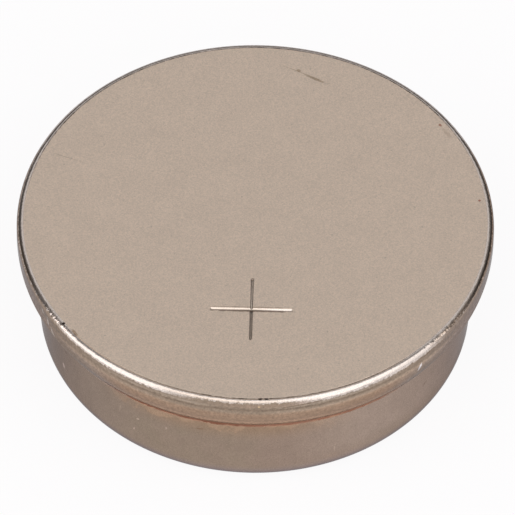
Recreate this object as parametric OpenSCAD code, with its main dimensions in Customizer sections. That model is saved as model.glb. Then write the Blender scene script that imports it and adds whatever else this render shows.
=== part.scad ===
// Lithium coin cell with a stepped body, 24.5 mm across and 7.7 mm high.
// It stands on its negative face. The origin is the centre of that face,
// and +Z leaves through the positive face.

/* [Outside] */
// Diameter over the rim
cell_d = 24.5; // [22:0.1:30]
// Height from contact face to contact face
cell_h = 7.7; // [6.5:0.1:10]
// Height of the rim, from the positive face down to the edge of its lip
rim_h = 2.11; // [1.9:0.01:2.6]
// How far the rim stands out past the drum, on the radius
rim_overhang = 1.15; // [1:0.01:1.4]

/* [Positive lid] */
// Sheet thickness of the lid
lid_t = 0.25; // [0.2:0.01:0.28]
// Outer radius of the shoulder round the positive face
shoulder_r = 0.3; // [0.3:0.01:0.6]
// How far the crimped lip turns in from the rim, on the radius
lip_inset = 0.37; // [0.2:0.01:0.45]
// Outer radius of the bend that the crimp leaves in the rim
crimp_bend_r = 2.2; // [1.5:0.1:3]

/* [Negative cup] */
// Sheet thickness of the cup
cup_t = 0.25; // [0.2:0.01:0.3]
// Outer radius between the drum and the negative face
cup_corner_r = 1.3; // [0.6:0.1:2]
// Gap inside the folded hem of the cup
hem_gap = 0.1; // [0.04:0.01:0.16]
// Straight length of the hem's outer leg, below its fold
hem_leg = 0.65; // [0.4:0.05:0.8]

/* [Gasket] */
// Thickness of the gasket between the lid and the cup's fold
seal_t = 0.35; // [0.25:0.01:0.5]
// Thickness of the leg inside the cup
seal_leg_t = 0.4; // [0.25:0.01:0.5]
// Height of the leg inside the cup
seal_leg_h = 2.05; // [1:0.05:3]
// How far the skirt shows below the lip
seal_skirt = 0.48; // [0.1:0.01:0.6]

/* [Inside] */
// Thickness of the lithium disc
lithium_t = 1.9; // [1.2:0.1:2.5]
// Thickness of the separator
separator_t = 0.25; // [0.1:0.01:0.3]
// How far the separator's rim stays below the cathode ring
separator_gap = 0.3; // [0.1:0.1:2]
// Thickness of the steel in the cathode ring and the collector grid
collector_t = 0.12; // [0.1:0.01:0.2]
// Height of the cathode ring
ring_h = 1.6; // [0.8:0.1:3]
// Width of the flange of the cathode ring, over the pellet
ring_flange = 1.5; // [0.8:0.1:3]
// Bevel round both faces of the cathode pellet
pellet_bevel = 0.2; // [0.2:0.01:0.4]

/* [Collector grid] */
// Length of one opening in the expanded metal
mesh_l = 2.2; // [1.6:0.1:3]
// Width of one opening
mesh_w = 1.1; // [0.8:0.1:1.5]
// Width of the strands between the openings
mesh_strand = 0.4; // [0.3:0.05:0.6]

/* [Fits] */
// Clearance between the gasket and the sheet that grips it
seal_gap = 0.02; // [0.01:0.005:0.03]
// Clearance between the pieces inside
fit_gap = 0.03; // [0.01:0.01:0.1]

/* [Hidden] */
$fn = 180;
arc_step = 10;

// Rim and lip
rim_r = cell_d / 2;
lip_z = cell_h - rim_h;
crimp_a = acos(1 - lip_inset / crimp_bend_r);
crimp_z = lip_z + crimp_bend_r * sin(crimp_a);
lid_in_r = rim_r - lid_t;
lid_in_z = cell_h - lid_t;

// Drum and hem
drum_r = rim_r - rim_overhang;
cup_in_r = drum_r - cup_t;
fold_z = lid_in_z - seal_t - cup_t - hem_gap / 2;
hem_r = drum_r + hem_gap + cup_t;
hem_z = fold_z - hem_leg;

// Gasket
seal_leg_r = cup_in_r - seal_gap - seal_leg_t;
seal_leg_z = lid_in_z - seal_leg_h;
seal_z = lip_z - seal_skirt;
seal_corner_r = shoulder_r - lid_t / 2;
seal_lead = seal_leg_t / 3;

// Inside, from the cup's floor up and from the gasket in
separator_z = cup_t + lithium_t;
separator_r = seal_leg_r - fit_gap;
separator_corner_r = 2 * separator_t;
ring_r = separator_r - separator_t - fit_gap;
ring_z = lid_in_z - ring_h;
ring_bend_r = 2 * collector_t;
pellet_z = separator_z + separator_t;
pellet_top = lid_in_z - collector_t;
pellet_r = ring_r - collector_t - fit_gap;
flange_r = pellet_r - ring_flange;
grid_r = flange_r - fit_gap;
lithium_r = drum_r - cup_corner_r - fit_gap;

// Points along an arc about c, from one angle to the other
function arc(c, r, from, to) =
    let (steps = ceil(abs(to - from) / arc_step))
    [
        for (i = [0:steps])
            let (a = from + (to - from) * i / steps)
            [c[0] + r * cos(a), c[1] + r * sin(a)]
    ];

function reverse(points) = [for (i = [len(points) - 1:-1:0]) points[i]];

// Section of a sheet, from the line of its outer side to that of its inner side
module sheet_section(outer, inner) {
    polygon(concat(outer, reverse(inner)));
}

// The lid's line at depth d below its outer side: face, shoulder, wall and crimp
function lid_side(d) = concat(
    [[0, cell_h - d]],
    arc([rim_r - shoulder_r, cell_h - shoulder_r], shoulder_r - d, 90, 0),
    arc([rim_r - crimp_bend_r, crimp_z], crimp_bend_r - d, 0, -crimp_a)
);

// The floor and corner of a tray at depth d inside its outer side
function tray_side(r, z, corner_r, d) = concat(
    [[0, z + d]],
    arc([r - corner_r, z + corner_r], corner_r - d, -90, 0)
);

// The fold of the hem at distance d from the drum's outer side
function fold_side(d) = arc([drum_r + hem_gap / 2, fold_z], hem_gap / 2 + d, 180, 0);

// The cup's line at depth d: floor, corner, drum, fold and the hem's outer leg
function cup_side(d) = concat(
    tray_side(drum_r, 0, cup_corner_r, d),
    fold_side(d),
    [[drum_r + hem_gap + d, hem_z]]
);

// The ring's line at depth d: flange, bend and wall
function ring_side(d) = concat(
    [[flange_r, lid_in_z - d]],
    arc([ring_r - ring_bend_r, lid_in_z - ring_bend_r], ring_bend_r - d, 90, 0),
    [[ring_r - d, ring_z]]
);

// Shallow lid whose wall is crimped in over the gasket and the cup's hem
module positive_lid() {
    color([0.72, 0.66, 0.6])
        rotate_extrude() sheet_section(lid_side(0), lid_side(lid_t));
}

// Deep-drawn cup, its edge folded out and down into a hem
module negative_cup() {
    color([0.57, 0.5, 0.45])
        rotate_extrude() sheet_section(cup_side(0), cup_side(cup_t));
}

// Moulded ring that holds the hem in its groove and fills the crimp:
// up the lid's wall, across the top, down the leg, then round the hem
module gasket() {
    crimp_side = arc(
        [rim_r - crimp_bend_r, crimp_z], crimp_bend_r - lid_t - seal_gap, -crimp_a, 0
    );
    corner = [lid_in_r - seal_gap - seal_corner_r, lid_in_z - seal_corner_r];
    color([0.45, 0.28, 0.2])
        rotate_extrude() polygon(concat(
            [[crimp_side[0][0], seal_z]],
            crimp_side,
            arc(corner, seal_corner_r, 0, 90),
            [
                [seal_leg_r, lid_in_z],
                [seal_leg_r, seal_leg_z + seal_lead],
                [seal_leg_r + seal_lead, seal_leg_z],
                [cup_in_r - seal_gap, seal_leg_z]
            ],
            fold_side(cup_t + seal_gap),
            [
                [hem_r + seal_gap, hem_z - seal_gap],
                [drum_r + seal_gap, hem_z - seal_gap],
                [drum_r + seal_gap, seal_z]
            ]
        ));
}

// Disc of expanded steel between the pellet and the lid, inside the ring's flange
module collector_grid() {
    pitch = [mesh_l + 2 * mesh_strand, mesh_w + mesh_strand];
    reach = [ceil(grid_r / pitch[0]), ceil(grid_r / pitch[1])];
    mesh_r = grid_r - mesh_l / 2 - mesh_strand;
    color([0.62, 0.63, 0.64])
        translate([0, 0, pellet_top])
            linear_extrude(collector_t) difference() {
                circle(grid_r);
                for (i = [-reach[0]:reach[0]], j = [-2 * reach[1]:2 * reach[1]]) {
                    at = [(i + (j % 2 == 0 ? 0 : 0.5)) * pitch[0], j * pitch[1] / 2];
                    if (norm(at) < mesh_r) translate(at) mesh_opening();
                }
            }
}

module mesh_opening() {
    polygon([[-mesh_l / 2, 0], [0, -mesh_w / 2], [mesh_l / 2, 0], [0, mesh_w / 2]]);
}

// Steel ring of L section that holds the pellet's edge and touches the lid
module cathode_ring() {
    color([0.66, 0.66, 0.67])
        rotate_extrude() sheet_section(ring_side(0), ring_side(collector_t));
}

// Pressed tablet of manganese dioxide
module cathode_pellet() {
    color([0.16, 0.16, 0.17])
        rotate_extrude() polygon([
            [0, pellet_z],
            [pellet_r - pellet_bevel, pellet_z],
            [pellet_r, pellet_z + pellet_bevel],
            [pellet_r, pellet_top - pellet_bevel],
            [pellet_r - pellet_bevel, pellet_top],
            [0, pellet_top]
        ]);
}

// Tray of non-woven cloth that parts the cathode from the lithium and the cup
module separator() {
    rim_z = ring_z - separator_gap;
    color([0.93, 0.92, 0.88])
        rotate_extrude() sheet_section(
            concat(tray_side(separator_r, separator_z, separator_corner_r, 0),
                   [[separator_r, rim_z]]),
            concat(tray_side(separator_r, separator_z, separator_corner_r, separator_t),
                   [[separator_r - separator_t, rim_z]])
        );
}

// Disc of lithium pressed on to the cup's floor
module lithium_disc() {
    color([0.78, 0.79, 0.8])
        translate([0, 0, cup_t]) cylinder(r = lithium_r, h = lithium_t);
}

positive_lid();
negative_cup();
gasket();
collector_grid();
cathode_ring();
cathode_pellet();
separator();
lithium_disc();
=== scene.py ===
import math

import bmesh
import bpy
from mathutils import Matrix, Vector


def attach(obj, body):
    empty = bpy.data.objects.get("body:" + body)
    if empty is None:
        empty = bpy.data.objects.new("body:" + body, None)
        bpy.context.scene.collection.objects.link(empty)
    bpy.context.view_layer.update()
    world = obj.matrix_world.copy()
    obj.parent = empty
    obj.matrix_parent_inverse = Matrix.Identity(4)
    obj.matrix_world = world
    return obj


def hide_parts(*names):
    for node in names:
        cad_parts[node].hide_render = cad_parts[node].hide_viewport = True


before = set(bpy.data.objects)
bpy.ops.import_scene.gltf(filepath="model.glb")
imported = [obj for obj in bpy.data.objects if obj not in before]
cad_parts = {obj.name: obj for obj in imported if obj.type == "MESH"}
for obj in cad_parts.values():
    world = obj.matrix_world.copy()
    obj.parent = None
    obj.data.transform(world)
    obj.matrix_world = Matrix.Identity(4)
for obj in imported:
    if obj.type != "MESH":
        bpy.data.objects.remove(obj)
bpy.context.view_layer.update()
print("frame:", ", ".join(sorted(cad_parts)))

mm = 0.001
degree = math.radians(1)
weldReach = 0.0005 * mm

# sizes that the pieces share, in millimetres, as the CAD has them
cell = {
    "rimR": 12.25,
    "height": 7.7,
    "rimH": 2.11,
    "drumR": 11.1,
    "sheet": 0.25,
    "segments": 256,
}
rimDegree = degree * cell["rimR"] * mm    # length of one degree round the rim


def arcPoints(centre, radius, start, end, step=4.0):
    count = max(2, math.ceil(abs(end - start) / step))
    points = []
    for i in range(count + 1):
        angle = math.radians(start + (end - start) * i / count)
        points.append((centre[0] + radius * math.cos(angle),
                       centre[1] + radius * math.sin(angle)))
    return points


def softenCorners(points, reach, steps=4, sharpest=40.0):
    # a sharp corner becomes a short curve that starts and ends at reach from it
    soft = [points[0]]
    for before, corner, after in zip(points, points[1:], points[2:]):
        corner = Vector(corner)
        back, on = Vector(before) - corner, Vector(after) - corner
        if math.degrees(back.angle(on)) > 180 - sharpest:
            soft.append(tuple(corner))
            continue
        first = corner + back.normalized() * min(reach, back.length / 2)
        last = corner + on.normalized() * min(reach, on.length / 2)
        for i in range(steps + 1):
            t = i / steps
            soft.append(tuple(first.lerp(corner, t).lerp(corner.lerp(last, t), t)))
    soft.append(points[-1])
    return soft


# small helpers for node trees
def addNode(tree, kind, values=None, **settings):
    made = tree.nodes.new(kind)
    for key, value in settings.items():
        setattr(made, key, value)
    for key, value in (values or {}).items():
        if isinstance(value, bpy.types.NodeSocket):
            tree.links.new(value, made.inputs[key])
        else:
            made.inputs[key].default_value = value
    return made


def calc(tree, operation, *values, clamp=False):
    return addNode(tree, "ShaderNodeMath", dict(enumerate(values)),
                   operation=operation, use_clamp=clamp).outputs[0]


def product(tree, first, *others):
    for other in others:
        first = calc(tree, "MULTIPLY", first, other)
    return first


def total(tree, first, *others):
    for other in others:
        first = calc(tree, "ADD", first, other)
    return first


def lengthOf(tree, a, b):
    return calc(tree, "SQRT", total(tree, product(tree, a, a), product(tree, b, b)))


def farFrom(tree, value, middle):
    return calc(tree, "ABSOLUTE", calc(tree, "SUBTRACT", value, middle))


def span(tree, value, low, high, outLow, outHigh, smooth=False):
    kind = "SMOOTHSTEP" if smooth else "LINEAR"
    return addNode(tree, "ShaderNodeMapRange",
                   {"Value": value, "From Min": low, "From Max": high,
                    "To Min": outLow, "To Max": outHigh},
                   interpolation_type=kind).outputs[0]


def fade(tree, value, ends, unit, smooth=True):
    # 0 at the first end and 1 at the second, both given in the unit
    return span(tree, value, ends[0] * unit, ends[1] * unit, 0, 1, smooth)


def near(tree, value, middle, reach, unit):
    # 1 round the middle, and fades out between the two distances of reach
    return fade(tree, farFrom(tree, value, middle * unit), reach, unit)


def spread(tree, grain, low, high):
    # a noise seldom leaves 0.3 to 0.7
    return span(tree, grain, 0.3, 0.7, low, high)


def apart(tree, vector):
    return addNode(tree, "ShaderNodeSeparateXYZ", {0: vector}).outputs


def together(tree, x, y, z):
    return addNode(tree, "ShaderNodeCombineXYZ", {0: x, 1: y, 2: z}).outputs[0]


def noise(tree, where, scale, detail, roughness):
    return addNode(tree, "ShaderNodeTexNoise",
                   {"Vector": where, "Scale": scale, "Detail": detail, "Roughness": roughness}
                   ).outputs["Fac"]


def blendColour(tree, share, first, second, mode="MIX"):
    # a colour is a socket or three numbers
    mix = addNode(tree, "ShaderNodeMix", data_type="RGBA", blend_type=mode)
    for index, value in ((0, share), (6, first), (7, second)):
        if isinstance(value, bpy.types.NodeSocket):
            tree.links.new(value, mix.inputs[index])
        else:
            mix.inputs[index].default_value = value if index == 0 else (*value, 1)
    return mix.outputs[2]


def tinted(tree, base, share, tone):
    return blendColour(tree, share, base, blendColour(tree, 1.0, base, tone, "MULTIPLY"))


def shaded(tree, colour, share):
    return blendColour(tree, 1.0, colour, together(tree, share, share, share), "MULTIPLY")


def bumped(tree, height, look, under=None):
    # look is the strength, and the depth in mm
    values = {"Height": height, "Strength": look[0], "Distance": look[1] * mm}
    if under is not None:
        values["Normal"] = under
    return addNode(tree, "ShaderNodeBump", values).outputs[0]


# Geometry Nodes tree that turns a profile round Z
def buildTurnTree():
    tree = bpy.data.node_groups.new("turnProfile", "GeometryNodeTree")
    for name, kind, way in (("Profile", "Geometry", "INPUT"), ("Segments", "Int", "INPUT"),
                            ("Weld", "Float", "INPUT"), ("Finish", "Material", "INPUT"),
                            ("Geometry", "Geometry", "OUTPUT")):
        tree.interface.new_socket(name, in_out=way, socket_type="NodeSocket" + kind)
    given = addNode(tree, "NodeGroupInput").outputs
    out = addNode(tree, "NodeGroupOutput")

    # a grid with a column for each step of the turn and a row for each point of the profile
    points = addNode(tree, "GeometryNodeAttributeDomainSize",
                     {"Geometry": given["Profile"]}).outputs["Point Count"]
    grid = addNode(tree, "GeometryNodeMeshGrid",
                   {"Vertices X": calc(tree, "ADD", given["Segments"], 1), "Vertices Y": points})
    index = addNode(tree, "GeometryNodeInputIndex").outputs[0]
    along = calc(tree, "MODULO", index, points)
    step = calc(tree, "FLOOR", calc(tree, "DIVIDE", index, points))
    angle = product(tree, calc(tree, "DIVIDE", step, given["Segments"]), 2 * math.pi)

    # each point of the grid goes to its place on the turned profile
    position = addNode(tree, "GeometryNodeInputPosition").outputs[0]
    sample = addNode(tree, "GeometryNodeSampleIndex",
                     {"Geometry": given["Profile"], "Value": position, "Index": along},
                     data_type="FLOAT_VECTOR")
    spun = addNode(tree, "ShaderNodeVectorRotate",
                   {"Vector": sample.outputs["Value"], "Angle": angle}, rotation_type="Z_AXIS")
    placed = addNode(tree, "GeometryNodeSetPosition",
                     {"Geometry": grid.outputs["Mesh"], "Position": spun.outputs[0]})
    welded = addNode(tree, "GeometryNodeMergeByDistance",
                     {"Geometry": placed.outputs[0], "Distance": given["Weld"]})
    smooth = addNode(tree, "GeometryNodeSetShadeSmooth", {"Geometry": welded.outputs[0]})
    real = addNode(tree, "GeometryNodeRealizeInstances", {0: smooth.outputs[0]})
    finished = addNode(tree, "GeometryNodeSetMaterial",
                       {"Geometry": real.outputs[0], "Material": given["Finish"]})
    tree.links.new(finished.outputs[0], out.inputs["Geometry"])
    return tree


def socketOf(tree, name):
    return next(s.identifier for s in tree.interface.items_tree
                if s.name == name and s.in_out == "INPUT")


def turnedMesh(name, profile, material):
    chain = bpy.data.meshes.new(name + "Profile")
    edges = [(i, i + 1) for i in range(len(profile) - 1)]
    chain.from_pydata([(x * mm, 0, z * mm) for x, z in profile], edges, [])
    source = bpy.data.objects.new(name + "Profile", chain)
    bpy.context.scene.collection.objects.link(source)
    turning = source.modifiers.new("turn", "NODES")
    turning.node_group = turnTree
    turning[socketOf(turnTree, "Segments")] = cell["segments"]
    turning[socketOf(turnTree, "Weld")] = weldReach
    turning[socketOf(turnTree, "Finish")] = material
    view = bpy.context.evaluated_depsgraph_get()
    mesh = bpy.data.meshes.new_from_object(source.evaluated_get(view))
    mesh.name = name
    source.modifiers.remove(turning)
    bpy.data.objects.remove(source)
    bpy.data.meshes.remove(chain)
    return mesh


def closePiece(name, meshes, material, node):
    # joins the meshes of one piece, welds them and points every face outwards
    bm = bmesh.new()
    for mesh in meshes:
        bm.from_mesh(mesh)
        bpy.data.meshes.remove(mesh)
    bmesh.ops.remove_doubles(bm, verts=bm.verts, dist=weldReach)
    bmesh.ops.recalc_face_normals(bm, faces=bm.faces)
    if bm.calc_volume(signed=True) < 0:
        bmesh.ops.reverse_faces(bm, faces=bm.faces)
    openEdges = sum(not e.is_manifold for e in bm.edges)
    print(name, len(bm.faces), "faces,", openEdges, "open edges,",
          round(bm.calc_volume() / mm ** 3, 2), "mm3")
    mesh = bpy.data.meshes.new(name)
    for face in bm.faces:
        face.smooth = True
        face.material_index = 0
    bm.to_mesh(mesh)
    bm.free()
    mesh.materials.append(material)
    mesh.set_sharp_from_angle(angle=math.radians(40))
    piece = bpy.data.objects.new(name, mesh)
    bpy.context.scene.collection.objects.link(piece)
    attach(piece, "root")
    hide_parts(node)


def newFinish(name, metallic, **values):
    material = bpy.data.materials.new(name)
    material.use_nodes = True
    tree = material.node_tree
    shader = tree.nodes["Principled BSDF"]
    shader.inputs["Metallic"].default_value = metallic
    for key, value in values.items():
        shader.inputs[key].default_value = value
    place = addNode(tree, "ShaderNodeTexCoord").outputs["Object"]
    return material, tree, shader, place


# nickel-plated lid: satin face, bright shoulder, browner wall
lidFinish = {
    "face": (0.75, 0.632, 0.535),
    "shoulder": (0.655, 0.573, 0.527),
    # painted shade that dims and warms the front of the highlight
    "dimmedHighlight": (0.89, 0.85, 0.8),          # over the front of the highlight
    "wall": (0.32, 0.245, 0.187),
    "crimp": (0.367, 0.25, 0.178),
    # painted bounce light: lighter, warmer lip at the front
    "lip": (0.70, 0.455, 0.295),
    # painted shade: greyer crimp at both sides
    "side": (0.36, 0.282, 0.23),
    # painted shade of the seam on the lid's cut edge, lighter on the right and darkest at the sides
    "edge": (0.35, 0.182, 0.122),
    "lighterSeamShade": (0.47, 0.26, 0.178),
    "sideSeamShade": (0.12, 0.09, 0.075),
    "grazing": (0.5, 0.5, 0.52),
    # painted shade: darker grazing reflection of the crimp at both sides
    "shadedSideGrazing": (0.42, 0.41, 0.41),
    # painted shade in the fine crease
    "creaseShade": (0.05, 0.031, 0.02),
    # painted shade: warmer, darker start of the shoulder at the front
    "frontEdgeShade": (0.98, 0.86, 0.73),
    # painted reflection: cooler wall away from the front, where it mirrors the shaded floor
    "sideReflectionTint": (1.02, 1.04, 1.12),
    # painted sheen under the highlight
    "paintedSheen": (1.24, 1.29, 1.34),
    "line": (0.2, 0.14, 0.1),
    "faceRoughness": 0.68,
    "shoulderRoughness": 0.13,
    "wallRoughness": 0.22,
    "sideRougher": 0.25,      # the lower crimp at both sides
    "groove": (0.77, 0.685, 0.62),
    "grooveRoughness": 0.38,
    "grainBump": (0.06, 0.01),          # strength, and depth in mm
    "streakBump": (0.9, 0.012),
    "knockBump": (1.0, 0.04),
    "knocked": ((51, 7), (-56, 8)),    # azimuth and half width
    "rubbed": ((-36, 24, 7.42), (31, 24, 7.36)),    # azimuth, half width and foot
}

# where the lid's finishes begin and are full: heights and radii in mm, azimuths in degrees
lidZones = {
    "shoulder": (11.9, 11.94),        # radius
    "top": 7.6,                       # the face and the start of the shoulder lie above it
    "groove": (7.695, 7.68),
    "wall": (7.63, 7.57),
    "crimp": (7.0, 6.7),
    "lowCrimp": (6.85, 6.5),
    "lowCrimpTurn": (38, 56),
    # where the lip's painted bounce light lies
    "lip": (6.3, 5.75),
    # where the seam's painted shade lies
    "edge": (5.7, 5.64),
    "aside": (30, 46),
    "right": (-6, 14),
    "rubbedFade": (0.12, 12),         # height and azimuth
    "knockedFade": 4,
    "knockedHeight": (7.0, 7.3),
    # painted highlight along the bend into the crimp
    "bend": (6.9, (0.22, 0.0)),       # middle and distances from it
    "bendTurn": (58, 44),
    "bendLight": ((-4, 16, 0.06, 0.33), (-14, -30, 0, 0.16)),    # azimuths, and how much lighter
    # where the painted shade over the highlight lies
    "dimmedHighlight": (-8, (20, 8)),
    "dimmedHighlightHeight": ((7.69, 7.67), (7.6, 7.62)),
    # where the painted shade at the shoulder's start lies
    "frontEdgeShade": (11.96, (0.06, 0.015)),
    "frontEdgeShadeTurn": (-6, (50, 40)),
    "farAside": (48, 64),             # degrees from the middle of the painted shade at the shoulder's start
    # where the painted sheen under the highlight lies
    "paintedSheen": ((7.17, 7.25), (7.43, 7.33)),
    "paintedSheenTurn": (-3, (4, 13), (48, 26)),
    "line": (7.15, (0.04, 0.012), (0.13, 0.03)),    # middle, core and soft edge
    "lineTurn": (42, 26),
    # the painted shade in the crease
    "creaseShade": (0.036, 0.012),           # distances from its middle
    "creaseShadeMiddle": (11.92, 11.95),     # radius, away from and near the azimuth below
    "creaseShadeMiddleTurn": (40, (28, 10)),
    "creaseShadeFront": (16, 42),
    "creaseShadeBack": (95, 130),
    "sandy": (7.6, 7.5),
    "faceMarks": 7.5,                 # above and below these heights
    "wallMarks": 7.55,
}

# scale, detail and roughness of each noise
lidGrain = {
    "ragged": (2600, 3, 0.6),
    "sand": (6500, 3, 0.65),
    "cloud": (650, 4, 0.6),
    "grain": (15000, 2, 0.6),
    "speck": (5200, 2, 0.5),
    "wander": (420, 3, 0.6),
    "streaks": (9000, 3, 0.6),
    "knocks": (3200, 2, 0.5),
}


def cylinderPlace(tree, place):
    # radius, azimuth from the front, length round the rim and height of a point
    x, y, z = apart(tree, place)
    azimuth = calc(tree, "ARCTAN2", x, product(tree, y, -1.0))
    return lengthOf(tree, x, y), azimuth, product(tree, azimuth, cell["rimR"] * mm), z


# painted light and shade: lighter and darker stretches along the shoulder: heights, azimuths and tone
paintedRimTones = [
    (7.67, 7.688, 50, 115, (1.32, 1.26, 1.2)),
    (7.67, 7.688, -115, -52, (1.28, 1.24, 1.2)),
    (7.595, 7.67, -69, -51, (1.45, 1.4, 1.38)),
    (7.595, 7.67, 50, 66, (1.12, 1.0, 0.88)),
    (7.6, 7.67, -84, -69, (0.88, 0.78, 0.66)),
    (7.56, 7.66, 67, 115, (0.6, 0.53, 0.46)),
    (7.56, 7.645, -115, -84, (0.64, 0.6, 0.56)),
    (7.35, 7.56, -8, 13, (1.1, 1.06, 1.06)),
]

# scratches and spots, and painted shade beside the sign's arms: across, along, half length, half width in
# mm, turn in degrees, tone
lidWear = {
    "face": [      # X and Y
        (3.05, 9.74, 0.8, 0.08, -28, (0.68, 0.64, 0.58)),
        (2.5, 10.1, 1.6, 0.045, -27, (0.8, 0.77, 0.72)),
        (2.2, 10.33, 0.17, 0.1, -30, (0.72, 0.68, 0.62)),
        (9.5, 6.66, 0.15, 0.11, -50, (0.62, 0.42, 0.36)),
        (9.85, 6.08, 0.45, 0.16, -60, (0.88, 0.86, 0.84)),
        (11.5, 1.51, 0.1, 0.09, 0, (0.62, 0.38, 0.34)),
        (-9.7, 4.2, 1.1, 0.035, -22, (0.84, 0.82, 0.8)),
        (-9.73, -7.02, 0.13, 0.1, 35, (0.08, 0.07, 0.06)),
        (-9.12, -7.68, 0.35, 0.09, -58, (0.62, 0.56, 0.5)),
        (0.33, -11.94, 0.15, 0.075, 2, (0.12, 0.09, 0.07)),
        (0.63, -11.93, 0.14, 0.07, -3, (0.08, 0.06, 0.05)),
        # painted shade along both edges of the sign's cross arm
        (-0.16, -6.08, 2.6, 0.085, -1.1, (0.5, 0.46, 0.44)),
        (-0.16, -5.83, 2.8, 0.06, -1.1, (0.8, 0.77, 0.74)),
        # painted shade over the far end of the sign's other arm
        (-0.12, -3.965, 0.1, 0.12, 90, (0.32, 0.29, 0.27)),      # far end of its other arm
    ],
    "wall": [      # azimuth in degrees and height
        (-62.0, 7.2, 0.25, 0.09, -70, (1.9, 2.1, 2.3)),
        (-59.3, 6.9, 0.32, 0.1, -75, (1.9, 2.2, 2.5)),
        (-57.6, 6.55, 0.34, 0.09, -70, (2.1, 2.4, 2.7)),
        (43.6, 6.7, 0.36, 0.085, 65, (2.0, 2.4, 3.0)),
        (46.2, 7.34, 0.5, 0.06, 10, (0.7, 0.66, 0.62)),
        (1.3, 7.42, 0.09, 0.07, 0, (1.9, 1.9, 1.6)),
        (11.3, 7.36, 1.7, 0.04, 4, (0.6, 0.54, 0.48)),
        (-24.0, 7.3, 1.2, 0.03, -3, (0.8, 0.76, 0.72)),
    ],
}


def toned(tree, base, height, azimuth, tones, allowed):
    # multiplies each stretch by its tone, with soft ends
    rise, turn = 0.008, 5
    for low, high, start, end, tone in tones:
        mask = product(tree, fade(tree, height, (low - rise, low + rise), mm),
                       fade(tree, height, (high + rise, high - rise), mm), allowed,
                       fade(tree, azimuth, (start - turn, start + turn), degree),
                       fade(tree, azimuth, (end + turn, end - turn), degree))
        base = tinted(tree, base, mask, tone)
    return base


def worn(tree, base, where, acrossUnit, marks, ragged, allowed):
    # lays each mark over the colour, with an uneven edge
    for across, along, halfLength, halfWidth, turn, tone in marks:
        u = calc(tree, "SUBTRACT", where[0], across * acrossUnit)
        v = calc(tree, "SUBTRACT", where[1], along * mm)
        c, s = math.cos(turn * degree), math.sin(turn * degree)
        lengthways = total(tree, product(tree, u, c / halfLength / mm),
                           product(tree, v, s / halfLength / mm))
        sideways = calc(tree, "SUBTRACT", product(tree, v, c / halfWidth / mm),
                        product(tree, u, s / halfWidth / mm))
        reach = total(tree, lengthOf(tree, lengthways, sideways), spread(tree, ragged, -0.35, 0.35))
        mask = product(tree, fade(tree, reach, (1.0, 0.5), 1), allowed)
        base = tinted(tree, base, mask, tone)
    return base


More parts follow.
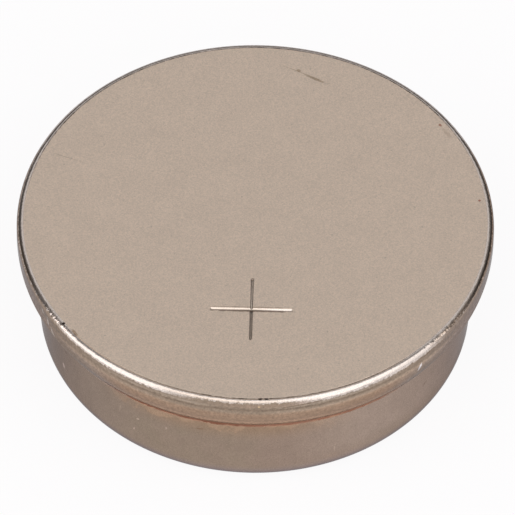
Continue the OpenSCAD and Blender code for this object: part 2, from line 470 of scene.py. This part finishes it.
def buildLidFinish():
    material, tree, shader, place = newFinish("lidSteel", 1.0)
    radius, azimuth, around, height = cylinderPlace(tree, place)
    turned = calc(tree, "ABSOLUTE", azimuth)
    ragged, sand, cloud, grain, speck, wander = [
        noise(tree, place, *lidGrain[name])
        for name in ("ragged", "sand", "cloud", "grain", "speck", "wander")]
    uneven = total(tree, height, spread(tree, ragged, -0.025 * mm, 0.025 * mm),
                   spread(tree, sand, -0.06 * mm, 0.06 * mm))

    # the lid's regions
    onTop = calc(tree, "GREATER_THAN", height, lidZones["top"] * mm)
    onShoulder = fade(tree, radius, lidZones["shoulder"], mm)
    inGroove = product(tree, fade(tree, height, lidZones["groove"], mm, smooth=False),
                       calc(tree, "LESS_THAN", radius, lidSettings["fillR"] * mm))
    rubbed = 0.0
    rise, sweep = lidZones["rubbedFade"]
    for middle, half, foot in lidFinish["rubbed"]:
        bright = product(tree, fade(tree, uneven, (foot, foot + rise), mm),
                         near(tree, azimuth, middle, (half, half - sweep), degree))
        rubbed = total(tree, rubbed, bright)
    onWall = calc(tree, "SUBTRACT", fade(tree, uneven, lidZones["wall"], mm), rubbed, clamp=True)
    onCrimp = fade(tree, height, lidZones["crimp"], mm)
    onEdge = fade(tree, height, lidZones["edge"], mm)
    onRight = fade(tree, azimuth, lidZones["right"], degree)
    aside = fade(tree, turned, lidZones["aside"], degree)
    # painted bounce light: the lip is lighter and warmer at the front, between the lid and the cup
    litLip = product(tree, fade(tree, height, lidZones["lip"], mm), calc(tree, "SUBTRACT", 1.0, aside))
    # painted shade: at both sides the lower crimp is greyer and its grazing reflection darker
    sideCrimp = product(tree, fade(tree, height, lidZones["lowCrimp"], mm),
                        fade(tree, turned, lidZones["lowCrimpTurn"], degree))
    tree.links.new(blendColour(tree, sideCrimp, lidFinish["grazing"], lidFinish["shadedSideGrazing"]),
                   shader.inputs["Specular Tint"])

    base = blendColour(tree, onShoulder, lidFinish["face"], lidFinish["shoulder"])
    for share, name in ((inGroove, "groove"), (onWall, "wall"), (onCrimp, "crimp"),
                        (product(tree, aside, onCrimp), "side"), (litLip, "lip")):
        base = blendColour(tree, share, base, lidFinish[name])
    # painted shade: the lid's cut edge is painted dark and reddish as the seam's shade
    edge = shaded(tree, blendColour(tree, onRight, lidFinish["edge"], lidFinish["lighterSeamShade"]),
                  span(tree, ragged, 0.35, 0.65, 0.72, 1.28))
    base = blendColour(tree, onEdge, base, blendColour(tree, aside, edge, lidFinish["sideSeamShade"]))

    # painted highlight along the bend into the crimp, most on the right
    light = 0.0
    for start, full, least, most in lidZones["bendLight"]:
        light = total(tree, light, span(tree, azimuth, start * degree, full * degree, least, most,
                                        smooth=True))
    light = product(tree, light, near(tree, height, *lidZones["bend"], mm),
                    fade(tree, turned, lidZones["bendTurn"], degree))
    base = shaded(tree, base, total(tree, light, 1.0))

    # painted shade: the front of the highlight is dimmed and warmed in the colour
    under, over = [fade(tree, height, ends, mm, smooth=False) for ends in lidZones["dimmedHighlightHeight"]]
    dimmedHighlight = product(tree, near(tree, azimuth, *lidZones["dimmedHighlight"], degree),
                   calc(tree, "SUBTRACT", under, onWall, clamp=True), over)
    # painted shade: a warmer, darker start of the shoulder, round the front
    shadeMiddle, shadeReach = lidZones["frontEdgeShadeTurn"]
    fromFrontShade = farFrom(tree, azimuth, shadeMiddle * degree)
    frontEdgeShade = product(tree, near(tree, radius, *lidZones["frontEdgeShade"], mm), onTop,
                    fade(tree, fromFrontShade, shadeReach, degree))
    # painted reflection: the wall is tinted cooler away from the front, where it mirrors the shaded floor
    sideReflected = product(tree, fade(tree, fromFrontShade, lidZones["farAside"], degree), onWall)
    # painted sheen: a paler band at the top of the wall under the highlight, weak straight in front
    sheenMiddle, sheenStart, sheenEnd = lidZones["paintedSheenTurn"]
    fromSheen = farFrom(tree, azimuth, sheenMiddle * degree)
    foot, top = lidZones["paintedSheen"]
    paintedSheen = product(tree, fade(tree, uneven, foot, mm), fade(tree, uneven, top, mm),
                   fade(tree, fromSheen, sheenStart, degree), fade(tree, fromSheen, sheenEnd, degree))
    for share, name in ((dimmedHighlight, "dimmedHighlight"), (frontEdgeShade, "frontEdgeShade"), (sideReflected, "sideReflectionTint"), (paintedSheen, "paintedSheen")):
        base = tinted(tree, base, share, lidFinish[name])
    # painted light and shade along the shoulder
    base = toned(tree, base, height, azimuth, paintedRimTones, onShoulder)

    # a fine dark line that wanders along the front of the wall
    lineMiddle, lineCore, lineSoft = lidZones["line"]
    fromLine = farFrom(tree, total(tree, height, spread(tree, wander, -0.05 * mm, 0.05 * mm)),
                       lineMiddle * mm)
    core = product(tree, fade(tree, fromLine, lineCore, mm), span(tree, ragged, 0.4, 0.6, 0, 0.75))
    line = calc(tree, "MAXIMUM", core, product(tree, fade(tree, fromLine, lineSoft, mm), 0.36))
    line = product(tree, line, fade(tree, turned, lidZones["lineTurn"], degree))
    base = blendColour(tree, line, base, lidFinish["line"])

    # painted shade: a dark line laid into the fine crease, at the front and at the back
    inner, outer = lidZones["creaseShadeMiddle"]
    middle = total(tree, inner * mm, product(tree, near(tree, azimuth, *lidZones["creaseShadeMiddleTurn"], degree),
                                             (outer - inner) * mm))
    fromTurn = farFrom(tree, azimuth, lidSettings["creaseTurn"] * degree)
    creaseShadeFront = [end * degree for end in lidZones["creaseShadeFront"]]
    creaseShaded = product(tree, fade(tree, farFrom(tree, radius, middle), lidZones["creaseShade"], mm), onTop,
                    span(tree, ragged, 0.38, 0.6, 0.3, 1.0),
                    total(tree, span(tree, fromTurn, *creaseShadeFront, 0.95, 0, smooth=True),
                          fade(tree, fromTurn, lidZones["creaseShadeBack"], degree)))
    base = blendColour(tree, creaseShaded, base, lidFinish["creaseShade"])

    x, y, _ = apart(tree, place)
    base = worn(tree, base, (x, y), mm, lidWear["face"], ragged,
                calc(tree, "GREATER_THAN", height, lidZones["faceMarks"] * mm))
    base = worn(tree, base, (around, height), rimDegree, lidWear["wall"], ragged,
                calc(tree, "LESS_THAN", height, lidZones["wallMarks"] * mm))
    # grain and specks; the wall is worn to a sandy, uneven tone, from the highlight down
    sandy = product(tree, spread(tree, sand, -0.2, 0.2), fade(tree, height, lidZones["sandy"], mm))
    for share in (spread(tree, cloud, 0.98, 1.02), spread(tree, grain, 0.88, 1.12),
                  span(tree, speck, 0.68, 0.76, 1.0, 0.8), total(tree, sandy, 1.0)):
        base = shaded(tree, base, share)
    tree.links.new(base, shader.inputs["Base Color"])

    face, shoulder = lidFinish["faceRoughness"], lidFinish["shoulderRoughness"]
    rough = total(tree, span(tree, onShoulder, 0, 1, face, shoulder),
                  product(tree, onWall, lidFinish["wallRoughness"] - shoulder),
                  product(tree, sideCrimp, lidFinish["sideRougher"]),
                  product(tree, inGroove, lidFinish["grooveRoughness"] - face),
                  spread(tree, grain, -0.03, 0.03))
    tree.links.new(rough, shader.inputs["Roughness"])

    # fine rubbing marks that run round the shoulder and the wall, and small knocks at both sides
    streaks = noise(tree, together(tree, product(tree, around, 0.5), radius, height),
                    *lidGrain["streaks"])
    knocked = 0.0
    for middle, half in lidFinish["knocked"]:
        knocked = total(tree, knocked,
                        near(tree, azimuth, middle, (half, half - lidZones["knockedFade"]), degree))
    knocks = product(tree, noise(tree, place, *lidGrain["knocks"]), knocked,
                     fade(tree, height, lidZones["knockedHeight"], mm))
    fine = bumped(tree, grain, lidFinish["grainBump"])
    rub = bumped(tree, knocks, lidFinish["knockBump"],
                 bumped(tree, streaks, lidFinish["streakBump"], fine))
    # sockets 4 and 5 are the two vectors
    normal = addNode(tree, "ShaderNodeMix", {0: onShoulder, 4: fine, 5: rub}, data_type="VECTOR")
    tree.links.new(normal.outputs[1], shader.inputs["Normal"])
    return material


# the cup: duller, with drawing marks and specks, and a painted warm glow of the gasket under the seam
cupWear = [      # azimuth in degrees and height
    (-61.8, 2.3, 0.18, 0.11, -60, (1.9, 1.95, 2.1)),
    (-60.4, 3.6, 0.14, 0.09, 0, (0.7, 0.68, 0.66)),
    (-38.0, 3.1, 0.5, 0.035, 80, (1.25, 1.25, 1.25)),
    (-32.2, 3.0, 0.12, 0.05, 20, (1.9, 1.9, 2.0)),
    (-33.4, 2.1, 0.1, 0.06, 70, (1.7, 1.7, 1.8)),
    (-23.7, 3.2, 0.05, 0.12, 0, (1.5, 1.5, 1.6)),
    (-14.2, 3.9, 0.35, 0.05, 10, (0.8, 0.72, 0.66)),
    (22.0, 2.0, 0.4, 0.03, 84, (1.3, 1.3, 1.3)),
    (52.0, 3.0, 0.3, 0.05, 30, (0.75, 0.72, 0.7)),
]
cupFinish = {
    "pink": (0.318, 0.235, 0.188),
    "olive": (0.303, 0.235, 0.178),
    "left": (0.32, 0.247, 0.2),
    # painted reflection: the gasket's warm, blotchy glow on the drum under the seam
    "blotchyGlow": (0.4, 0.272, 0.188),
    "gasketGlow": (0.33, 0.225, 0.155),
    # painted light on the right of the front
    "rightLight": (0.38, 0.29, 0.238),
    # painted reflection of the floor at the foot
    "foot": (0.348, 0.276, 0.258),
    "grazing": (0.45, 0.45, 0.47),
    "roughness": 0.27,
    "grainBump": (0.08, 0.01),
    "streakBump": (0.1, 0.015),
}
cupGrain = {
    "cloud": (900, 4, 0.65),
    "grain": (13000, 2, 0.6),
    "speck": (6500, 2, 0.5),
    "ragged": (2600, 3, 0.6),
    "drift": (260, 3, 0.6),
    "glowMottle": (950, 4, 0.7),
    "streak": (2600, 4, 0.65),
}

# where the cup's finishes begin and are full: heights, and lengths round the rim, in mm
cupZones = {
    "left": (-5, -11),
    "leftEnd": (-34, -24),
    "facing": (11, 4),
    # where the gasket's painted glow lies
    "gasketGlow": (3.2, 4.6),
    "blotchyGlowHeight": (3.5, 4.45),
    "blotchyGlowMiddle": -1,
    "blotchyGlowAside": (2, 4.5),
    # where the painted light on the right lies
    "rightLight": (1, 7),
    "rightLightEnd": (20, 15),
    "rightLightFoot": (1.2, 2.2),
    # painted reflection of the floor at the foot
    "foot": (1.4, 0.7),
}


def buildCupFinish():
    material, tree, shader, place = newFinish("cupSteel", 1.0)
    shader.inputs["Specular Tint"].default_value = (*cupFinish["grazing"], 1)
    radius, _, around, height = cylinderPlace(tree, place)
    aside = calc(tree, "ABSOLUTE", around)
    cloud, grain, speck, ragged, drift, glowMottle = [
        noise(tree, place, *cupGrain[name])
        for name in ("cloud", "grain", "speck", "ragged", "drift", "glowMottle")]
    streak = noise(tree, together(tree, around, radius, product(tree, height, 0.2)),
                   *cupGrain["streak"])

    # the drum's tone drifts between pinkish and olive, and is greyer on the left
    base = blendColour(tree, span(tree, drift, 0.35, 0.65, 0, 1), cupFinish["olive"], cupFinish["pink"])
    leftSide = product(tree, fade(tree, around, cupZones["left"], mm),
                       fade(tree, around, cupZones["leftEnd"], mm))
    facing = fade(tree, aside, cupZones["facing"], mm)
    # painted reflection: a warm band of the gasket's glow under the seam, at the front
    gasketGlowShare = product(tree, fade(tree, height, cupZones["gasketGlow"], mm), facing)
    # painted reflection: blotchy orange glow of the gasket on the drum under the seam
    low, high = cupZones["blotchyGlowHeight"]
    sideLow, sideHigh = cupZones["blotchyGlowAside"]
    blotchyGlow = total(tree, glowMottle, span(tree, height, low * mm, high * mm, -0.25, 0.09),
                   span(tree, farFrom(tree, around, cupZones["blotchyGlowMiddle"] * mm),
                        sideLow * mm, sideHigh * mm, -0.05, 0.05, smooth=True))
    blotchyGlow = product(tree, span(tree, blotchyGlow, 0.46, 0.56, 0, 0.95, smooth=True), facing)
    # painted light: a paler, greyer stretch on the right of the front, where more light falls
    rightLit = product(tree, fade(tree, around, cupZones["rightLight"], mm),
                   fade(tree, around, cupZones["rightLightEnd"], mm),
                   span(tree, height, *[end * mm for end in cupZones["rightLightFoot"]], 0.4, 1, smooth=True))
    # painted reflection: the foot is greyer where it mirrors the floor
    for share, name in ((leftSide, "left"), (gasketGlowShare, "gasketGlow"), (blotchyGlow, "blotchyGlow"), (rightLit, "rightLight"),
                        (fade(tree, height, cupZones["foot"], mm), "foot")):
        base = blendColour(tree, share, base, cupFinish[name])
    base = worn(tree, base, (around, height), rimDegree, cupWear, ragged, 1.0)
    for share in (spread(tree, cloud, 0.95, 1.05), spread(tree, streak, 0.975, 1.025),
                  spread(tree, grain, 0.88, 1.12), span(tree, speck, 0.30, 0.22, 1.0, 1.35),
                  span(tree, speck, 0.70, 0.78, 1.0, 0.7)):
        base = shaded(tree, base, share)
    tree.links.new(base, shader.inputs["Base Color"])
    rough = cupFinish["roughness"]
    tree.links.new(span(tree, streak, 0.2, 0.8, rough - 0.06, rough + 0.06),
                   shader.inputs["Roughness"])
    wave = bumped(tree, streak, cupFinish["streakBump"], bumped(tree, grain, cupFinish["grainBump"]))
    tree.links.new(wave, shader.inputs["Normal"])
    return material


# the gasket: brown plastic with the lip's shadow painted under the lip
sealFinish = {
    "plain": (0.26, 0.17, 0.125),
    "orange": (0.42, 0.235, 0.15),
    "lipShadow": (0.205, 0.082, 0.045),
    "lighterLipShadow": (0.27, 0.122, 0.075),
    "side": (0.285, 0.218, 0.183),
    "lipShadowHeight": (5.17, 5.22),
    "lightFrom": (-2, 1.5),       # mm round the rim
    "sideFrom": (6.5, 9.5),
}


def buildSealFinish():
    material, tree, shader, place = newFinish("sealPlastic", 0.0, Roughness=0.6)
    shader.inputs["Specular IOR Level"].default_value = 0.15
    _, _, around, height = cylinderPlace(tree, place)
    mottle = noise(tree, place, 1200, 3, 0.6)
    base = blendColour(tree, span(tree, mottle, 0.35, 0.65, 0, 1),
                       sealFinish["plain"], sealFinish["orange"])
    # painted shadow of the lip on the gasket, at the front and lighter on the right
    ragged = noise(tree, place, 1900, 3, 0.65)
    inLipShadow = fade(tree, total(tree, height, spread(tree, ragged, -0.08 * mm, 0.08 * mm)),
                 sealFinish["lipShadowHeight"], mm)
    lipShadow = blendColour(tree, fade(tree, around, sealFinish["lightFrom"], mm),
                        sealFinish["lipShadow"], sealFinish["lighterLipShadow"])
    base = blendColour(tree, inLipShadow, base, lipShadow)
    aside = fade(tree, calc(tree, "ABSOLUTE", around), sealFinish["sideFrom"], mm)
    tree.links.new(blendColour(tree, aside, base, sealFinish["side"]), shader.inputs["Base Color"])
    return material


turnTree = buildTurnTree()

# the lid: turned sheet with a crimped wall, and a flat face with its sign pressed in
lidSettings = {
    "shoulderR": 0.3,
    "crimpR": 2.2,
    "lipInset": 0.37,
    "edge": 0.05,     # softening of the sheet's cut edge
    "fillR": 11.6,    # inside this radius the face is filled flat round its marks
    "creaseR": 11.925,    # fine crease between the face and the shoulder
    "creaseHalf": 0.035,
    "creaseDepth": 0.014,
    "creaseTurn": 6,      # azimuth of its middle, in degrees
    "creaseFront": (48, 24),    # degrees from there at which it ends, and its fade
    "creaseBack": (96, 30),     # the same, at which it begins again
}

plusSettings = {
    "centre": (-0.16, -5.97),
    "arms": (4.23, 4.1),
    "turn": -1.1,
    "width": 0.185,
    "depth": 0.06,
    "bowl": 1.25,         # 1 is a plain V, more is rounder
    "capSteps": 8,
    "wallSteps": 8,
    "lip": 0.01,
    "margin": 0.05,
}


def crimpPlace():
    # angle through which the wall is crimped, in degrees, and height of the bend's centre
    turn = math.degrees(math.acos(1 - lidSettings["lipInset"] / lidSettings["crimpR"]))
    return turn, cell["height"] - cell["rimH"] + lidSettings["crimpR"] * math.sin(math.radians(turn))


def lidProfile():
    rimR, top, sheet = cell["rimR"], cell["height"], cell["sheet"]
    shoulderR, crimpR = lidSettings["shoulderR"], lidSettings["crimpR"]
    crimpTurn, crimpZ = crimpPlace()

    def side(depth, start=90.0):
        return (arcPoints((rimR - shoulderR, top - shoulderR), shoulderR - depth, start, 0)
                + [(rimR - depth, crimpZ + 0.05)]
                + arcPoints((rimR - crimpR, crimpZ), crimpR - depth, 0, -crimpTurn, 2.5))

    creaseR, creaseHalf = lidSettings["creaseR"], lidSettings["creaseHalf"]
    flat = [(lidSettings["fillR"], top), (creaseR - 2 * creaseHalf, top), (creaseR - creaseHalf, top),
            (creaseR, top - lidSettings["creaseDepth"])]
    meet = math.degrees(math.acos((creaseR + creaseHalf - rimR + shoulderR) / shoulderR))
    inner = side(sheet)[::-1] + [(rimR - shoulderR - 0.03, top - sheet), (0, top - sheet)]
    return softenCorners(flat + side(0, meet) + inner, lidSettings["edge"])


def fadedCrease(mesh):
    # the crease runs round the front and the back, and fades out at both sides
    top = cell["height"] * mm
    bottom = top - 1.1 * lidSettings["creaseDepth"] * mm
    inner = (lidSettings["creaseR"] - 2.1 * lidSettings["creaseHalf"]) * mm
    outer = lidSettings["creaseR"] * mm + lidSettings["creaseHalf"] * mm
    (frontEnd, frontFade), (backStart, backFade) = lidSettings["creaseFront"], lidSettings["creaseBack"]
    for vertex in mesh.vertices:
        x, y, z = vertex.co
        if inner < math.hypot(x, y) < outer and z > bottom:
            away = abs(math.degrees(math.atan2(x, -y)) - lidSettings["creaseTurn"])
            share = max(0.0, (frontEnd - away) / frontFade, (away - backStart) / backFade)
            vertex.co.z = top - (top - z) * min(1.0, share)
    return mesh


def grooveSection():
    # distance from the arm's centre line and height, from the flat face in to the bottom
    half, margin, count = plusSettings["width"] / 2, plusSettings["margin"], plusSettings["wallSteps"]
    points = [(half + margin, 0.0), (half + 0.4 * margin, 0.0)]
    for i in range(count + 1):
        share = 1 - i / count
        points.append((half * share, -plusSettings["depth"] * (1 - share ** plusSettings["bowl"])))
    return softenCorners(points, plusSettings["lip"], steps=3)


def plusOutline(distance):
    points = []
    for arm in range(4):
        reach = (plusSettings["arms"][arm % 2] - plusSettings["width"]) / 2
        local = [(distance, -distance)]
        for i in range(plusSettings["capSteps"] + 1):
            angle = math.pi * (i / plusSettings["capSteps"] - 0.5)
            local.append((reach + distance * math.cos(angle), distance * math.sin(angle)))
        spin = Matrix.Rotation(math.radians(plusSettings["turn"]) + arm * math.pi / 2, 2)
        points += [tuple(spin @ Vector(p) + Vector(plusSettings["centre"])) for p in local]
    return points


def faceMesh():
    # flat disc, with the rings of the sign's groove let into it
    bm = bmesh.new()
    top, fillR = cell["height"], lidSettings["fillR"]
    rim = []
    for i in range(cell["segments"]):
        angle = 2 * math.pi * i / cell["segments"]
        rim.append(bm.verts.new((fillR * math.cos(angle) * mm, fillR * math.sin(angle) * mm, top * mm)))
    border = [bm.edges.new((a, b)) for a, b in zip(rim, rim[1:] + rim[:1])]
    before = None
    for distance, height in grooveSection():
        ring = [bm.verts.new((x * mm, y * mm, (top + height) * mm)) for x, y in plusOutline(distance)]
        if before is None:
            border += [bm.edges.new((a, b)) for a, b in zip(ring, ring[1:] + ring[:1])]
        else:
            for corners in zip(before, before[1:] + before[:1], ring[1:] + ring[:1], ring):
                bm.faces.new(corners)
        before = ring
    bmesh.ops.triangle_fill(bm, edges=border, use_beauty=True, normal=(0, 0, 1))
    bmesh.ops.remove_doubles(bm, verts=bm.verts, dist=weldReach)
    mesh = bpy.data.meshes.new("face")
    bm.to_mesh(mesh)
    bm.free()
    return mesh


lidSteel = buildLidFinish()
closePiece("lid", [fadedCrease(turnedMesh("lidShell", lidProfile(), lidSteel)), faceMesh()],
           lidSteel, "positive_lid")

# the cup: drawn drum with its edge folded out and down
cupSettings = {
    "cornerR": 1.3,
    "foldGap": 0.1,
    "foldZ": 6.8,
    "hemZ": 6.15,
    "edge": 0.05,
}


def cupProfile():
    drumR, sheet, cornerR = cell["drumR"], cell["sheet"], cupSettings["cornerR"]
    foldZ, gap = cupSettings["foldZ"], cupSettings["foldGap"]

    def side(depth):
        return ([(0, depth), (drumR - cornerR - 0.05, depth)]
                + arcPoints((drumR - cornerR, cornerR), cornerR - depth, -90, 0)
                + [(drumR - depth, cornerR + 0.05), (drumR - depth, foldZ - 0.05)]
                + arcPoints((drumR + gap / 2, foldZ), gap / 2 + depth, 180, 0, 15)
                + [(drumR + gap + depth, foldZ - 0.05), (drumR + gap + depth, cupSettings["hemZ"])])

    return softenCorners(side(0) + side(sheet)[::-1], cupSettings["edge"])


cupSteel = buildCupFinish()
closePiece("cup", [turnedMesh("cupShell", cupProfile(), cupSteel)],
           cupSteel, "negative_cup")

# the gasket: skirt under the lip, body round the hem, leg inside the cup
sealSettings = {
    "gap": 0.02,
    "legT": 0.4,
    "legZ": 5.4,
    "skirtZ": 5.11,
    "lead": 0.4 / 3,
    "shoulderR": 0.175,
    "edge": 0.04,
}


def sealProfile():
    gap, sheet, drumR = sealSettings["gap"], cell["sheet"], cell["drumR"]
    crimpR, shoulderR = lidSettings["crimpR"], sealSettings["shoulderR"]
    crimpTurn, crimpZ = crimpPlace()
    underTop = cell["height"] - sheet
    legOut = drumR - sheet - gap
    legIn = legOut - sealSettings["legT"]
    hemR = drumR + cupSettings["foldGap"] + sheet + gap
    crimp = arcPoints((cell["rimR"] - crimpR, crimpZ), crimpR - sheet - gap, -crimpTurn, 0, 4)
    shoulder = arcPoints((cell["rimR"] - sheet - gap - shoulderR, underTop - shoulderR),
                         shoulderR, 0, 90, 15)
    fold = arcPoints((drumR + cupSettings["foldGap"] / 2, cupSettings["foldZ"]),
                     cupSettings["foldGap"] / 2 + sheet + gap, 180, 0, 10)
    lead, legZ = sealSettings["lead"], sealSettings["legZ"]
    points = ([(crimp[0][0], sealSettings["skirtZ"])] + crimp + shoulder
              + [(legIn, underTop), (legIn, legZ + lead), (legIn + lead, legZ), (legOut, legZ)]
              + fold
              + [(hemR, cupSettings["hemZ"] - gap), (drumR + gap, cupSettings["hemZ"] - gap),
                 (drumR + gap, sealSettings["skirtZ"])])
    middle = ((points[0][0] + points[-1][0]) / 2, sealSettings["skirtZ"])
    return softenCorners([middle] + points + [middle], sealSettings["edge"])


sealPlastic = buildSealFinish()
closePiece("seal", [turnedMesh("sealRing", sealProfile(), sealPlastic)],
           sealPlastic, "gasket")

# the pieces inside keep their CAD meshes: metallic, dark and light colour, roughness, grain
insideFinishes = {
    "collector_grid": (1.0, (0.36, 0.37, 0.38), (0.42, 0.43, 0.44), 0.35, 3000),
    "cathode_ring": (1.0, (0.40, 0.40, 0.41), (0.47, 0.47, 0.48), 0.3, 2500),
    "cathode_pellet": (0.0, (0.018, 0.018, 0.020), (0.045, 0.045, 0.048), 0.75, 5000),
    "separator": (0.0, (0.72, 0.71, 0.66), (0.86, 0.85, 0.80), 0.9, 6000),
    "lithium_disc": (1.0, (0.50, 0.51, 0.53), (0.62, 0.63, 0.64), 0.4, 1800),
}


def buildInsideFinish(name, metallic, dark, light, roughness, scale):
    material, tree, shader, place = newFinish(name + "Finish", metallic)
    cloud = noise(tree, place, scale, 5, 0.65)
    tree.links.new(blendColour(tree, span(tree, cloud, 0.35, 0.65, 0, 1), dark, light),
                   shader.inputs["Base Color"])
    tree.links.new(span(tree, cloud, 0, 1, roughness - 0.08, roughness + 0.08),
                   shader.inputs["Roughness"])
    tree.links.new(bumped(tree, cloud, (0.3, 0.03)), shader.inputs["Normal"])
    return material


for nodeName, look in insideFinishes.items():
    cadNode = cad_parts[nodeName]
    cadNode.data.materials.clear()
    cadNode.data.materials.append(buildInsideFinish(nodeName, *look))
print("inside pieces finished")

# floor and studio
floorSettings = {
    "size": 3.0,
    "below": 0.02,
    "colour": (0.89, 0.875, 0.88),
    "glow": (1.0, 0.994, 0.998),
    "glowShare": 0.92,
}


def buildFloor():
    material = bpy.data.materials.new("floor")
    material.use_nodes = True
    tree = material.node_tree
    tree.nodes.clear()
    out = addNode(tree, "ShaderNodeOutputMaterial")
    path = addNode(tree, "ShaderNodeLightPath").outputs
    seen = calc(tree, "ADD", total(tree, path["Is Camera Ray"], path["Is Glossy Ray"]),
                path["Is Transmission Ray"], clamp=True)
    paper = addNode(tree, "ShaderNodeBsdfDiffuse", {"Color": (*floorSettings["colour"], 1)})
    glow = addNode(tree, "ShaderNodeEmission", {"Color": (*floorSettings["glow"], 1), "Strength": 1.0})
    plain = addNode(tree, "ShaderNodeMixShader",
                    {0: product(tree, seen, floorSettings["glowShare"]),
                     1: paper.outputs[0], 2: glow.outputs[0]})
    clear = addNode(tree, "ShaderNodeBsdfTransparent")
    under = addNode(tree, "ShaderNodeNewGeometry").outputs["Backfacing"]
    both = addNode(tree, "ShaderNodeMixShader", {0: under, 1: plain.outputs[0], 2: clear.outputs[0]})
    tree.links.new(both.outputs[0], out.inputs["Surface"])
    size, low = floorSettings["size"], -floorSettings["below"] * mm
    mesh = bpy.data.meshes.new("floor")
    mesh.from_pydata([(-size, -size, low), (size, -size, low), (size, size, low), (-size, size, low)],
                     [], [(0, 1, 2, 3)])
    mesh.materials.append(material)
    floor = bpy.data.objects.new("floor", mesh)
    bpy.context.scene.collection.objects.link(floor)


buildFloor()

# the studio: a wide soft light over the front half, a dim wall behind with one panel on it
studioSettings = {
    "front": 1.75,
    "frontLow": 1.0,              # under the middle of the soft light
    "frontLowHeight": (64, 38),   # degrees above the floor between which it fades
    "frontLowTurn": -9,           # degrees to the side of the camera
    "frontLowWidth": (0.8, 0.92),
    "frontFoot": 2,               # degrees above the floor
    "divide": (0.2, -0.12),       # Y of the direction, from the wall to the soft light
    "panel": 0.5,
    "panelSides": (-0.36, 0.4),   # X of the direction
    "panelHeight": (40, 58),      # degrees above the floor
    "panelFade": 0.06,
    "rightShare": 0.72,           # of the soft light, far to the right
    "rightFrom": (0.6, 0.9),
    "rightLift": 8,               # degrees that the dim wall sits lower on the right
    "rightLiftFrom": (0.3, 0.6),
    "backGlow": 0.13,             # on the wall straight behind the cell
    "backGlowSides": (0.5, 0.1),
    # glow of the wall at each height, in degrees above the floor
    "wall": {-90: 0.9, -1.5: 0.9, -1: 1.0, 1: 1.0, 1.5: 0.3, 5: 0.2, 10: 0.13, 20: 0.08, 30: 0.07,
             45: 0.14, 60: 0.24, 75: 0.4, 90: 0.8},
}


def buildStudio():
    world = bpy.data.worlds.new("studio")
    world.use_nodes = True
    tree = world.node_tree
    tree.nodes.clear()
    out = addNode(tree, "ShaderNodeOutputWorld")
    x, y, z = apart(tree, addNode(tree, "ShaderNodeTexCoord").outputs["Generated"])
    rise = calc(tree, "ARCSINE", z)
    behind = calc(tree, "GREATER_THAN", y, 0.0)

    # the wall's glow goes by height, with a panel and a soft glow on it
    lift = span(tree, x, *studioSettings["rightLiftFrom"], 0, studioSettings["rightLift"] * degree,
                smooth=True)
    wall = addNode(tree, "ShaderNodeValToRGB", {0: fade(tree, total(tree, rise, lift), (-90, 90),
                                                        degree, smooth=False)})
    stops = wall.color_ramp.elements
    while len(stops) > 1:
        stops.remove(stops[0])
    for i, (height, glow) in enumerate(sorted(studioSettings["wall"].items())):
        stop = stops[0] if i == 0 else stops.new((height + 90) / 180)
        stop.position = (height + 90) / 180
        stop.color = (glow, glow, glow, 1)
    left, right = studioSettings["panelSides"]
    foot, top = [height * degree for height in studioSettings["panelHeight"]]
    soft = studioSettings["panelFade"]
    panel = product(tree, behind, studioSettings["panel"])
    for value, edge, way in ((x, left, soft), (x, right, -soft), (rise, foot, soft), (rise, top, -soft)):
        panel = product(tree, panel, fade(tree, value, (edge - way, edge + way), 1))
    glow = product(tree, fade(tree, calc(tree, "ABSOLUTE", x), studioSettings["backGlowSides"], 1),
                   behind, studioSettings["backGlow"])
    wallGlow = total(tree, wall.outputs[0], panel, glow)

    # the soft light is weaker low down ahead, and far to the right
    turn = studioSettings["frontLowTurn"] * degree
    ahead = calc(tree, "SUBTRACT", product(tree, x, math.sin(turn)), product(tree, y, math.cos(turn)))
    ahead = calc(tree, "DIVIDE", ahead, calc(tree, "MAXIMUM", lengthOf(tree, x, y), 0.001))
    low = product(tree, fade(tree, rise, studioSettings["frontLowHeight"], degree),
                  fade(tree, ahead, studioSettings["frontLowWidth"], 1))
    front = product(tree, span(tree, low, 0, 1, studioSettings["front"], studioSettings["frontLow"]),
                    span(tree, x, *studioSettings["rightFrom"], 1, studioSettings["rightShare"],
                         smooth=True))

    share = product(tree, fade(tree, y, studioSettings["divide"], 1),
                    calc(tree, "GREATER_THAN", rise, studioSettings["frontFoot"] * degree))
    lights = [addNode(tree, "ShaderNodeBackground", {0: (1, 1, 1, 1), 1: strength}).outputs[0]
              for strength in (wallGlow, front)]
    mix = addNode(tree, "ShaderNodeMixShader", {0: share, 1: lights[0], 2: lights[1]})
    tree.links.new(mix.outputs[0], out.inputs["Surface"])
    bpy.context.scene.world = world


buildStudio()

# camera of the photograph; "pixels" is its focal length in pixels of the width
shot = {
    "distance": 600.0,
    "height": 49.28,
    "roll": 0.5,
    "aim": (0.125, 4.815),    # X and Z
    "pixels": 19.42 * 600,
    "width": 515,
    "sensor": 36,
}


def buildCamera():
    rise, roll = math.radians(shot["height"]), math.radians(shot["roll"])
    right, up = Vector((1, 0, 0)), Vector((0, math.sin(rise), math.cos(rise)))
    back = Vector((0, -math.cos(rise), math.sin(rise)))
    x = right * math.cos(roll) + up * math.sin(roll)
    y = up * math.cos(roll) - right * math.sin(roll)
    spot = Vector((shot["aim"][0], 0, shot["aim"][1])) + back * shot["distance"]
    data = bpy.data.cameras.new("shot")
    data.sensor_width = shot["sensor"]
    data.lens = shot["pixels"] * shot["sensor"] / shot["width"]
    data.clip_start, data.clip_end = 0.05, 20
    holder = bpy.data.objects.new("shot", data)
    holder.matrix_world = Matrix.Translation(spot * mm) @ Matrix((x, y, back)).transposed().to_4x4()
    bpy.context.scene.collection.objects.link(holder)
    bpy.context.scene.camera = holder


buildCamera()
bpy.context.scene.view_settings.view_transform = "Standard"
print("stage ready")

bpy.context.view_layer.update()
